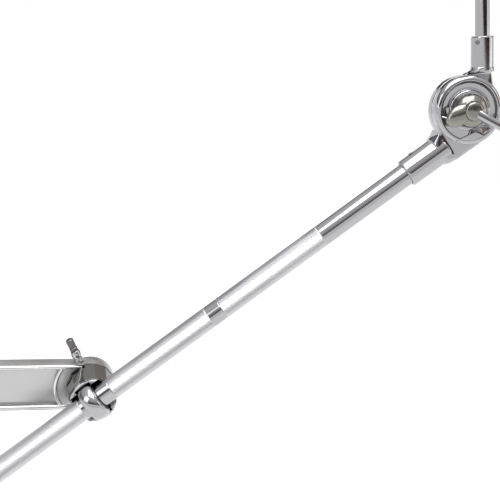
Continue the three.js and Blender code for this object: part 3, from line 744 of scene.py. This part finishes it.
@dataclass
class BoomRod:
    """The boom tube: polished with bands of diamond knurling, and a ribbed rubber end cap."""

    wall: float = 1.5
    sunk: float = 0.3
    knurl_depth: float = 0.2
    knurl_pitch: float = 1.15
    knurled: tuple[tuple[float, float], ...] = ((-104.0, -7.0), (12.5, 80.5), (88.7, 157.8))

    def build(self) -> None:
        """Build the polished tube, the knurled sleeves and the end cap."""
        place = boom_place()
        low, high = place.along("boom_rod")
        radius = self.radius(place)
        laid("boom_rod_tube", self.tube(low, high, radius), place, Finish.CHROME, "boom", "boom_rod")
        sleeves = [self.sleeve(start, end, radius) for start, end in self.knurled]
        laid("boom_rod_knurl", sleeves[0] + sleeves[1] + sleeves[2], place, Finish.KNURL, "boom", "boom_rod")
        laid("boom_end_cap", self.cap(place), place, Finish.RUBBER, "boom", "rod_end_cap")

    @staticmethod
    def radius(place: Place) -> float:
        """Return the boom tube's outer radius in millimetres, read from its node."""
        mesh = frame["nodes"]["boom_rod"].data
        corners = np.empty(len(mesh.vertices) * 3)
        mesh.vertices.foreach_get("co", corners)
        away = corners.reshape(-1, 3) - place.origin
        return float(np.linalg.norm(away - np.outer(away @ place.x, place.x), axis=1).max() / MM)

    def tube(self, low: float, high: float, radius: float) -> Skin:
        """Return the tube: full radius where polished, a little less under each knurled sleeve."""
        inner = radius - self.wall
        outline = [(low, inner), (low, radius - 0.3), (low + 0.3, radius)]
        for start, end in self.knurled:
            outline += [(start, radius), (start + 0.2, radius - self.sunk),
                        (end - 0.2, radius - self.sunk), (end, radius)]
        outline += [(high - 0.3, radius), (high, radius - 0.3), (high, inner), (low, inner)]
        return spun(outline, 96)

    def sleeve(self, start: float, end: float, radius: float) -> Skin:
        """Return one knurled sleeve: crests and roots alternate like a chessboard.

        Args:
            start: first end along the rod in millimetres.
            end: other end.
            radius: the tube's radius, which the crests reach.

        Returns:
            Radius R - depth * ((row + column) mod 2), which makes four-sided points half a
            pitch apart both ways, with plain ends sunk to the tube.
        """
        step = self.knurl_pitch / 2
        rows = int((end - start) / step) // 2 * 2
        around = int(round(2 * math.pi * radius / step / 2)) * 2
        x = np.linspace(start, end, rows)
        angle = np.linspace(0.0, 2 * np.pi, around, endpoint=False)
        row, column = np.meshgrid(np.arange(rows), np.arange(around), indexing="ij")
        depth = self.knurl_depth * ((row + column) % 2)
        depth[[0, -1]] = self.sunk + 0.05
        radii = radius - depth
        along = np.repeat(x[:, None], around, axis=1)
        grid = np.stack([along, radii * np.cos(angle), radii * np.sin(angle)], -1)
        return woven(grid, np.zeros(rows - 1, dtype=bool))

    def cap(self, place: Place) -> Skin:
        """Return the rubber cap with shallow ribs along its barrel."""
        low, high = place.along("rod_end_cap")
        outline = rounded([(low, 0.01), (low, 6.6), (low + 1.8, 8.0), (high, 8.0), (high, 6.8),
                           (low + 2.6, 6.7),
                           (low + 2.4, 0.01)], 0.9)

        def ribs(xs: np.ndarray, radii: np.ndarray, angles: np.ndarray) -> np.ndarray:
            along = np.clip(np.minimum(xs - low - 2.5, high - 1.5 - xs) / 0.8, 0.0, 1.0)
            return -0.35 * along * (radii > 7.5) * np.abs(np.sin(9 * angles)) ** 3

        xs = [point[0] for point in outline]
        barrel = [(x, 8.0) for x in np.linspace(low + 2.6, high - 1.2, 18)]
        first = next(i for i in range(1, len(xs)) if xs[i] > low + 2.6 and outline[i][1] > 7.5)
        return spun(outline[:first] + barrel + outline[first:], 144, ribs)


@dataclass
class EyeClamp:
    """The rounded eye bolt around the boom and the faceted seat behind it."""

    inner: float = 8.2
    outer: float = 11.0
    half_width: float = 4.5
    stem: float = 4.0
    stem_end: float = 39.4
    seat_front: float = 0.2
    seat_length: float = 19.2
    rim_radius: float = 13.0
    waist_radius: float = 12.3
    back_radius: float = 13.9
    rim_depth: float = 2.2
    facets: int = 12
    facet_turn: float = math.radians(16.0)
    groove: float = 9.4
    eye_space: tuple[float, float] = (11.3, 4.8)

    def build(self) -> None:
        """Build the eye, its threaded stem, the seat, and the nut and washer behind."""
        place = eye_place()
        laid("eye_ring", self.eye(), place, Finish.CHROME, "swivel", "eye_bolt")
        seat = laid("rod_seat_facets", self.seat(), place, Finish.SEAT_CHROME, "swivel", "rod_seat")
        # The seat's rim is switched to the brighter chrome as a painted highlight.
        self.paint_rim_highlight(seat, place)
        softened("eye_washer", Finish.CHROME, "swivel", 0.3)
        softened("eye_lock_nut", Finish.BRIGHT_STEEL, "eye_nut", 0.4)

    def eye(self) -> Skin:
        """Return the ring, of flattened round section, and its stem with thread at the end."""
        turn = np.linspace(0.0, np.pi, 25)
        crown = [(-self.half_width * math.cos(t), self.inner + (self.outer - self.inner) * math.sin(t) ** 0.7)
                 for t in turn]
        bore = [(x, self.inner - 0.001) for x in np.linspace(self.half_width, -self.half_width, 5)]
        ring = spun(crown + bore, 128)
        shank = rounded([(self.inner + 0.9, 0.01), (self.inner + 0.9, self.stem), (30.0, self.stem),
                         (30.0, 0.01)], 0.2)
        stem = spun(shank, 48) + thread(self.stem - 0.02, 29.0, self.stem_end, 1.25, 0.5)
        return ring + stem.swapped((2, 0, 1))

    def paint_rim_highlight(self, seat: bpy.types.Object, place: Place) -> None:
        """Give the seat's round front rim the brighter polished chrome, a painted highlight beside the darker
        seat chrome of its facets.
        """
        mesh = seat.data
        middle = np.empty(len(mesh.polygons) * 3)
        mesh.polygons.foreach_get("center", middle)
        local = (middle.reshape(-1, 3) - place.origin) / MM
        away = np.hypot(local @ place.x, local @ place.z)
        rim = (local @ place.y < self.rim_depth + 0.05) & (away > self.rim_radius - 1.1)
        # Rim faces take the bright polished chrome: a painted highlight on the same part.
        mesh.materials.append(Finish.CHROME.material())
        mesh.polygons.foreach_set("material_index", rim.astype(np.int32))

    def front(self, x: np.ndarray, z: np.ndarray) -> np.ndarray:
        """Return how deep the seat's face is cut at (x, z).

        The face is flat, except that a V groove along x leaves depth groove - |z|, and the
        eye's space near the middle leaves the circle sqrt(r^2 - z^2).
        """
        space, half = self.eye_space
        vee = self.groove - np.abs(z)
        round_space = np.where(np.abs(x) < half, np.sqrt(np.clip(space ** 2 - z ** 2, 0.0, None)), 0.0)
        return np.maximum(self.seat_front, np.maximum(vee, round_space))

    def wall(self, y: np.ndarray, angle: np.ndarray) -> np.ndarray:
        """Return the seat's radius at a depth and angle: a round rim, then facets that widen backwards."""
        share = np.clip((y - self.rim_depth) / (self.seat_length - self.rim_depth), 0.0, 1.0)
        taper = self.waist_radius + (self.back_radius - self.waist_radius) * share
        sector = 2 * math.pi / self.facets
        off = np.mod(angle - self.facet_turn, sector) - sector / 2
        flat = taper * math.cos(sector / 2) / np.cos(off) * 1.012
        return np.where(y < self.rim_depth, self.rim_radius, np.minimum(flat, self.back_radius))

    def seat(self, around: int = 360) -> Skin:
        """Return the seat: facets, rim, grooved face, bore and back, as one closed surface."""
        angle = np.linspace(0.0, 2 * np.pi, around, endpoint=False)
        cos, sin = np.cos(angle), np.sin(angle)
        edge = self.front(self.rim_radius * cos, self.rim_radius * sin)
        bore = self.stem + 0.3
        steps = np.concatenate([np.linspace(self.seat_length, self.rim_depth + 0.02, 7),
                                [self.rim_depth - 0.02, self.seat_front + 0.6, self.seat_front + 0.15]])
        rows = [(np.full(around, self.seat_length), np.full(around, bore))]
        for step in steps:
            depth = np.maximum(np.full(around, step), edge)
            rows.append((depth, self.wall(depth, angle)))
        rim = rows[-1][1]
        for share in np.linspace(0.02, 1.0, 60):
            radius = rim + (bore - rim) * share
            rows.append((self.front(radius * cos, radius * sin), radius))
        rows.append((np.full(around, self.seat_length), np.full(around, bore)))
        grid = np.stack([np.stack([radius * cos, depth, radius * sin], -1) for depth, radius in rows])
        return woven(grid[:, ::-1], np.zeros(len(rows) - 1, dtype=bool))


@dataclass
class ClampedArm:
    """The cast arm, its hinged jaw, the tube clamp's bolt and nut, and the lock screw."""

    lock_angle: float = math.radians(115.5)
    lock_depth: float = 23.0
    bolt_radius: float = 3.0
    bead_height: float = 12.5
    bead_radius: float = 1.3
    bead_front: float = -4.9
    shoulder_radius: float = 20.2
    shoulder_sweep: float = math.radians(37.0)

    def build(self) -> None:
        """Build the castings with rounded edges, the screws with threads and the hardware."""
        softened("arm_casting", Finish.CAST, "arm", 1.25, 5)
        softened("tube_jaw", Finish.CAST, "jaw", 0.7)
        softened("clamp_washer", Finish.CHROME, "clamp_washer", 0.3)
        softened("clamp_wing_nut", Finish.CHROME, "clamp_nut", 0.7)
        softened("jaw_hinge_pin", Finish.BRIGHT_STEEL, "arm", 0.2)
        place = arm_place()
        # The beads are real rounded rims, but their brighter cast copy paints a highlight along them.
        laid("arm_beads", self.beads(), place, Finish.BEAD_PAINTED_HIGHLIGHT, "arm", "arm_casting")
        low, high = place.along("clamp_bolt")
        at = np.array(joint("clamp_nut_spin")["pos_m"]) - place.origin
        beside = Place(np.array([0.0, at[1], at[2]]), place.x, place.y, place.z)
        laid("clamp_bolt_screw", self.bolt(low, high), beside, Finish.BRIGHT_STEEL, "arm", "clamp_bolt")
        lock = self.lock_place()
        laid("lock_screw_head", self.lock_screw(*lock.along("lock_screw")), lock, Finish.DARK_STEEL, "arm",
             "lock_screw")
        laid("lock_screw_ball", self.lock_nut(*lock.along("lock_screw_nut")), lock, Finish.CHROME, "arm",
             "lock_screw_nut")

    def beads(self) -> Skin:
        """Return the rounded rims of the arm's front side: two straight beads and a curved shoulder.

        Each bead is a circle of the bead's radius run along its path in the plane y = front.
        """
        reach = (np.array(joint("boom_swivel")["pos_m"]) / MM)[0]
        turn = np.linspace(-self.shoulder_sweep, self.shoulder_sweep, 41)
        straight = np.linspace(21.0, reach - 3.0, 9)
        level = np.full(9, self.bead_height)
        paths = (np.stack([straight, level], -1), np.stack([straight, -level], -1),
                 np.stack([reach - self.shoulder_radius * np.cos(turn),
                           self.shoulder_radius * np.sin(turn)], -1))
        around = np.linspace(0.0, 2 * np.pi, 24, endpoint=False)
        skins = []
        for path in paths:
            along = np.gradient(path, axis=0)
            along /= np.linalg.norm(along, axis=1)[:, None]
            side = np.stack([-along[:, 1], along[:, 0]], -1)
            size = np.full((len(path), 1), self.bead_radius)
            size[[0, -1]] = 0.01
            flat = path[:, None, :] + side[:, None, :] * (size * np.cos(around))[:, :, None]
            deep = self.bead_front + self.bead_radius + size * np.sin(around)
            skins.append(woven(np.stack([flat[..., 0], deep, flat[..., 1]], -1)))
        return skins[0] + skins[1] + skins[2]

    def lock_place(self) -> Place:
        """Return the lock screw's place: x out of the boss along the screw."""
        x = np.array([math.cos(self.lock_angle), 0.0, math.sin(self.lock_angle)])
        origin = np.array(joint("boom_swivel")["pos_m"]) + BACK * self.lock_depth * MM
        return Place(origin, x, BACK, np.cross(x, BACK))

    def bolt(self, low: float, high: float) -> Skin:
        """Return the clamp bolt: thread, plain shank, and a flanged button head with a hexagon recess."""
        radius = self.bolt_radius
        shank = spun([(-11.0, 0.01), (-11.0, radius - 0.02),
                      (high - 4.4, radius - 0.02), (high - 4.4, 0.01)], 48)
        head = rounded([(high - 4.4, 0.01), (high - 4.4, 5.0), (high - 1.0, 5.0), (high, 3.6), (high, 2.3),
                        (high - 2.2, 2.1), (high - 2.2, 0.01)], 0.5)
        return thread(radius, low, -10.0, 1.0, 0.42) + shank + spun(head, 72)

    def lock_screw(self, low: float, high: float) -> Skin:
        """Return the lock screw: thread through the boss, collar, waist and knurled round head."""
        head = rounded([(high - 8.0, 0.01), (high - 7.6, 1.85), (high - 6.9, 2.35), (high - 6.0, 2.35),
                        (high - 5.5, 1.8), (high - 5.0, 2.2), (high - 0.7, 2.2), (high, 1.6),
                        (high, 0.01)], 0.3)

        def grip(xs: np.ndarray, radii: np.ndarray, angles: np.ndarray) -> np.ndarray:
            return -0.16 * (xs > high - 4.8) * (xs < high - 0.8) * (radii > 2.0) * (np.cos(18 * angles) > 0.2)

        return thread(1.9, low, high - 7.0, 0.7, 0.26) + spun(head, 108, grip)

    def lock_nut(self, low: float, high: float) -> Skin:
        """Return the ball-shaped lock nut on its foot: radius follows half an ellipse between flat ends."""
        x = np.linspace(low, high, 19)
        share = (x - low) / (high - low)
        ball = list(zip(x, 2.3 + 0.6 * np.sin(np.pi * share) ** 0.7))
        foot = [(low - 2.4, 2.2), (low - 2.4, 2.7), (low - 0.5, 2.5)]
        return spun(foot + ball + [(high, 2.2), (low - 2.4, 2.2)], 72)


@dataclass
class TilterHalf:
    """One cast tilter half: a cupped disc, a flat neck, a head block and a socket sleeve."""

    name: str
    body: str
    node: str
    socket_radius: float
    bore: float
    neck: tuple[tuple[float, float, float, float, float], ...]
    squareness: tuple[float, ...]
    shoulder: float
    disc_radius: float = 19.3
    face: float = 8.0
    socket_offset: float = 10.1

    def build(self, place: Place, extra: Skin | None = None) -> None:
        """Lay the casting in its place as one chromed piece.

        Args:
            place: the half's place, x out along its socket.
            extra: a further shell of the same casting.
        """
        _, end = place.along(self.node)
        skin = self.disc() + lofted(self.neck, self.squareness) + self.sleeve(end)
        if extra is not None:
            skin = skin + extra
        laid(self.name, skin, place, Finish.CHROME, self.body, self.node)

    def disc(self) -> Skin:
        """Return the disc: a flat seam rim, a broad rounded front edge, a cup and a raised hub."""
        radius, face = self.disc_radius, self.face
        turn = np.linspace(0.0, math.pi / 2, 9)
        edge = [(face - 3.0 + 3.0 * math.sin(t), radius - 2.6 + 2.6 * math.cos(t)) for t in turn]
        outline = [(0.25, 15.3), (0.25, radius - 0.8), (0.5, radius - 0.25), (1.1, radius)] + edge
        outline += [(face, 16.5), (face - 0.25, 16.0), (face - 1.6, 15.5), (face - 2.1, 14.8),
                    (face - 2.3, 12.6), (face - 1.9, 11.4), (face - 1.0, 10.9), (face - 0.8, 10.3),
                    (face - 0.8, 4.3), (3.0, 4.3), (3.0, 15.3), (0.25, 15.3)]
        return spun(outline, 180).swapped((1, 2, 0))

    def sleeve(self, end: float) -> Skin:
        """Return the socket sleeve, with a rounded mouth around its bore."""
        radius = self.socket_radius
        outline = rounded([(self.shoulder, 0.01), (self.shoulder, radius), (end, radius), (end, self.bore),
                           (self.shoulder + 8.0, self.bore), (self.shoulder + 8.0, 0.01)], 0.9)
        return spun(outline, 96).moved(y=self.socket_offset)


@dataclass
class Tilter:
    """The two toothed tilter halves, their lever nut and through bolt."""

    lever_angle: float = math.radians(114.0)
    land: tuple[tuple[float, float], ...] = (
        (16.2, 9.0), (7.6, 11.0), (5.6, 9.5), (-3.0, 9.5), (-7.0, 12.4), (-11.0, 12.6), (-9.4, 15.4),
        (-4.0, 17.4), (4.0, 17.4), (10.4, 14.4), (15.0, 10.4))

    def build(self) -> None:
        """Build both castings, the nut on its axis, and the hardware between them."""
        lower = TilterHalf("lower_tilter_half", "boom", "lower_tilter_casting", 8.0, 6.65, (
            (-3.0, 12.0, 18.9, 0.9, 6.6), (6.0, 4.0, 19.1, 0.7, 6.8), (15.0, -8.0, 19.05, 0.7, 6.8),
            (17.6, -6.4, 19.0, 0.7, 6.8), (19.2, -3.2, 19.0, 0.7, 6.85), (20.3, -1.2, 18.95, 0.7, 6.9),
            (20.5, -0.9, 18.95, -6.0, 6.95), (21.2, 0.1, 18.9, -7.0, 7.0), (23.5, 1.2, 18.85, -7.1, 7.1),
            (25.5, 1.4, 18.7, -7.3, 7.3), (27.0, 1.7, 18.4, -7.5, 7.5)),
            (7.0,) * 8 + (5.0, 3.0, 2.3), 20.4)
        upper = TilterHalf("upper_tilter_half", "post", "upper_tilter_casting", 6.2, 4.3, (
            (-3.0, 12.0, 18.9, 0.9, 6.6), (6.0, 4.0, 18.2, 0.7, 6.8), (14.0, -6.0, 17.1, 0.7, 6.7),
            (17.0, -4.0, 16.6, 0.7, 6.6), (19.2, 0.2, 16.3, 0.7, 6.5), (20.3, 2.0, 16.1, 0.7, 6.4),
            (20.5, 2.6, 16.1, -5.0, 6.3), (21.6, 3.5, 16.2, -5.9, 6.2), (23.6, 3.9, 16.3, -6.2, 6.2)),
            (7.0,) * 6 + (5.0, 3.0, 2.0), 20.4)
        plate = windowed(self.land, (-2.0, 13.1), 2.4, 5.7, 7.95)
        lower.build(lower_tilter_place(), plate)
        upper.build(upper_tilter_place())
        place = lower_tilter_place()
        base, _ = Place(place.origin, place.z, place.x, place.y).along("tilter_lever_nut")
        # The nut's dome takes the darker chrome copy, which is painted shade; its lever keeps the plain
        # bright chrome.
        laid("tilter_nut_dome", self.nut_dome().moved(z=base), place, Finish.SATIN_PAINTED_SHADE, "tilter_nut",
             "tilter_lever_nut")
        laid("tilter_nut_lever", self.nut_lever().moved(z=base), place, Finish.CHROME, "tilter_nut",
             "tilter_lever_nut")
        softened("tilter_washer", Finish.CHROME, "boom", 0.3)
        softened("tilter_bolt", Finish.BRIGHT_STEEL, "boom", 0.4)
        laid("lower_tooth_ring", self.teeth("lower_ratchet_ring", lower_tilter_place()), lower_tilter_place(),
             Finish.BRIGHT_STEEL, "boom", "lower_ratchet_ring")
        laid("upper_tooth_ring", self.teeth("upper_ratchet_ring", upper_tilter_place()), upper_tilter_place(),
             Finish.BRIGHT_STEEL, "post", "upper_ratchet_ring")

    def nut_dome(self) -> Skin:
        """Return the closed dome of the lever nut, with a flat rounded lobe to one side."""
        dome = spun(rounded([(5.6, 0.01), (5.6, 4.2), (0.0, 4.3), (0.0, 9.2), (1.4, 9.4), (3.4, 8.4),
                             (4.6, 6.8),
                             (5.2, 5.6), (7.4, 5.0), (8.0, 3.6),
                             (8.2, 0.01)], 0.9, 6), 120).swapped((1, 2, 0))
        angle = np.linspace(0.0, np.pi, 33)
        ball = spun(list(zip(-np.cos(angle), np.maximum(np.sin(angle), 0.001))), 64)
        lobe = Skin(ball.points * np.array([8.2, 5.4, 2.9]), ball.faces, ball.smooth).moved(7.6, -2.4, 4.0)
        return dome + lobe

    def nut_lever(self) -> Skin:
        """Return the lever, which leaves the dome near its top and rises outwards."""
        lever = lofted([(1.0, -2.6, 2.6, 3.4, 7.9), (5.0, -2.5, 2.5, 3.6, 9.2), (9.0, -2.4, 2.4, 4.2, 10.2),
                        (13.0, -2.3, 2.3, 5.4, 11.4), (16.5, -2.2, 2.2, 6.8, 12.0),
                        (18.6, -2.0, 2.0, 8.0, 11.8),
                        (19.8, -1.4, 1.4, 9.2, 11.0)], 3.0)
        cos, sin = math.cos(self.lever_angle), math.sin(self.lever_angle)
        turn = np.array([[cos, sin, 0.0], [-sin, cos, 0.0], [0.0, 0.0, 1.0]])
        return Skin(lever.points @ turn, lever.faces, lever.smooth)

    def teeth(self, node: str, place: Place) -> Skin:
        """Return a ring with radial teeth cut into the face towards the seam.

        Args:
            node: the ring's CAD node, for its depth.
            place: its tilter half's place.

        Returns:
            A ring whose seam face dips by a triangle wave of the angle, 48 teeth around.
        """
        low, high = Place(place.origin, place.z, place.x, place.y).along(node)
        outline = [(low, 8.4), (low, 14.85), (high, 14.85), (high, 8.4), (low, 8.4)]
        ring = spun(outline, 288)
        angle = np.arctan2(ring.points[:, 2], ring.points[:, 1])
        phase = angle * 48 / (2 * np.pi)
        dip = 0.7 * np.abs(2 * (phase - np.floor(phase)) - 1)
        ring.points[:, 0] += np.where(ring.points[:, 0] < (low + high) / 2, dip, 0.0)
        ring.smooth[:] = False
        return ring.swapped((1, 2, 0))


@dataclass
class CymbalPost:
    """The cymbal rod with its felts, sleeve, washers and wing nut."""

    offset: float = 10.1
    radius: float = 4.0
    thread_from: float = 60.0

    def build(self) -> None:
        """Build the rod with its thread, the felts and the hardware around them."""
        place = upper_tilter_place().shifted(y=self.offset)
        low, high = place.along("cymbal_rod")
        laid("cymbal_rod_screw", self.rod(low, high), place, Finish.CHROME, "post", "cymbal_rod")
        low, high = place.along("lower_felt")
        laid("lower_felt_wool", self.felt(low, high, 17.0), place, Finish.FELT, "post", "lower_felt")
        low, high = place.along("upper_felt")
        laid("upper_felt_wool", self.felt(high, low, 15.0), place, Finish.FELT, "post", "upper_felt")
        softened("seat_stop_nut", Finish.CHROME, "post", 0.5)
        softened("seat_washer", Finish.CHROME, "post", 0.25)
        softened("cymbal_sleeve", Finish.NYLON, "post", 0.3)
        softened("top_washer", Finish.CHROME, "top_washer", 0.3)
        softened("cymbal_wing_nut", Finish.CHROME, "cymbal_nut", 0.7)

    def rod(self, low: float, high: float) -> Skin:
        """Return the cymbal rod: polished below, threaded above."""
        plain = spun(rounded([(low, 0.01), (low, self.radius), (self.thread_from, self.radius),
                              (self.thread_from, 0.01)], 0.4), 96)
        return plain + thread(self.radius, self.thread_from - 1.0, high, 1.25, 0.5, 72)

    def felt(
        self, base: float, contact: float, fullness: float, flat: float = 9.5, crown: float = 1.4
    ) -> Skin:
        """Return a pressed felt: a crowned contact face, a slightly bulged side and matted unevenness.

        Args:
            base: place of its flat face along the rod in millimetres.
            contact: place of its crowned face.
            fullness: outer radius.
            flat: radius of the crowned face's flat middle.
            crown: how far the crowned face falls back at its edge.

        Returns:
            A ring whose side bulges by a half sine of its height and whose skin wanders by a
            sum of three sine products of angle and height.
        """
        up = math.copysign(1.0, contact - base)
        shoulder = contact - crown * up
        share = np.linspace(0.0, 1.0, 25)
        side = [(base + 0.3 * up + (shoulder - base - 0.3 * up) * t,
                 fullness - 0.9 + 0.55 * math.sin(math.pi * t) ** 0.5) for t in share]
        outline = [(base, 6.3)] + [(base, r) for r in np.linspace(8.0, fullness - 1.3, 10)] + side
        outline += [(contact - crown * up * t, r) for t, r in
                    zip(np.linspace(0.95, 0.0, 10), np.linspace(fullness - 1.4, flat, 10))]
        outline += [(contact, 8.0), (contact, 6.3), (base, 6.3)]
        if up < 0:
            outline.reverse()

        def matted(xs: np.ndarray, radii: np.ndarray, angles: np.ndarray) -> np.ndarray:
            wander = (np.sin(7 * angles + 1.3 * xs) * np.sin(0.9 * xs + 2 * angles)
                      + 0.6 * np.sin(23 * angles - 2.1 * xs) + 0.5 * np.sin(61 * angles + 4.7 * xs))
            return 0.11 * wander * (radii > 7.0)

        return spun(outline, 192, matted)


CARRIED_OVER = {
    "tube_liner_fixed": Finish.NYLON, "tube_liner_moving": Finish.NYLON, "eye_bushing": Finish.NYLON,
    "lower_socket_screw": Finish.DARK_STEEL, "upper_socket_screw": Finish.DARK_STEEL,
    "tilter_spring": Finish.BRIGHT_STEEL,
}


def main() -> None:
    """Build the studio and every sub-assembly, logging each piece's face count, and dress the CAD nodes
    carried over.
    """
    logging.basicConfig(level=logging.INFO)
    bpy.context.scene.view_settings.view_transform = "Standard"
    Studio().build()
    for assembly in (ClampedArm(), EyeClamp(), BoomRod(), Tilter(), CymbalPost()):
        assembly.build()
    for node, finish in CARRIED_OVER.items():
        dress(frame["nodes"][node], finish)


if __name__ == "__main__":
    main()
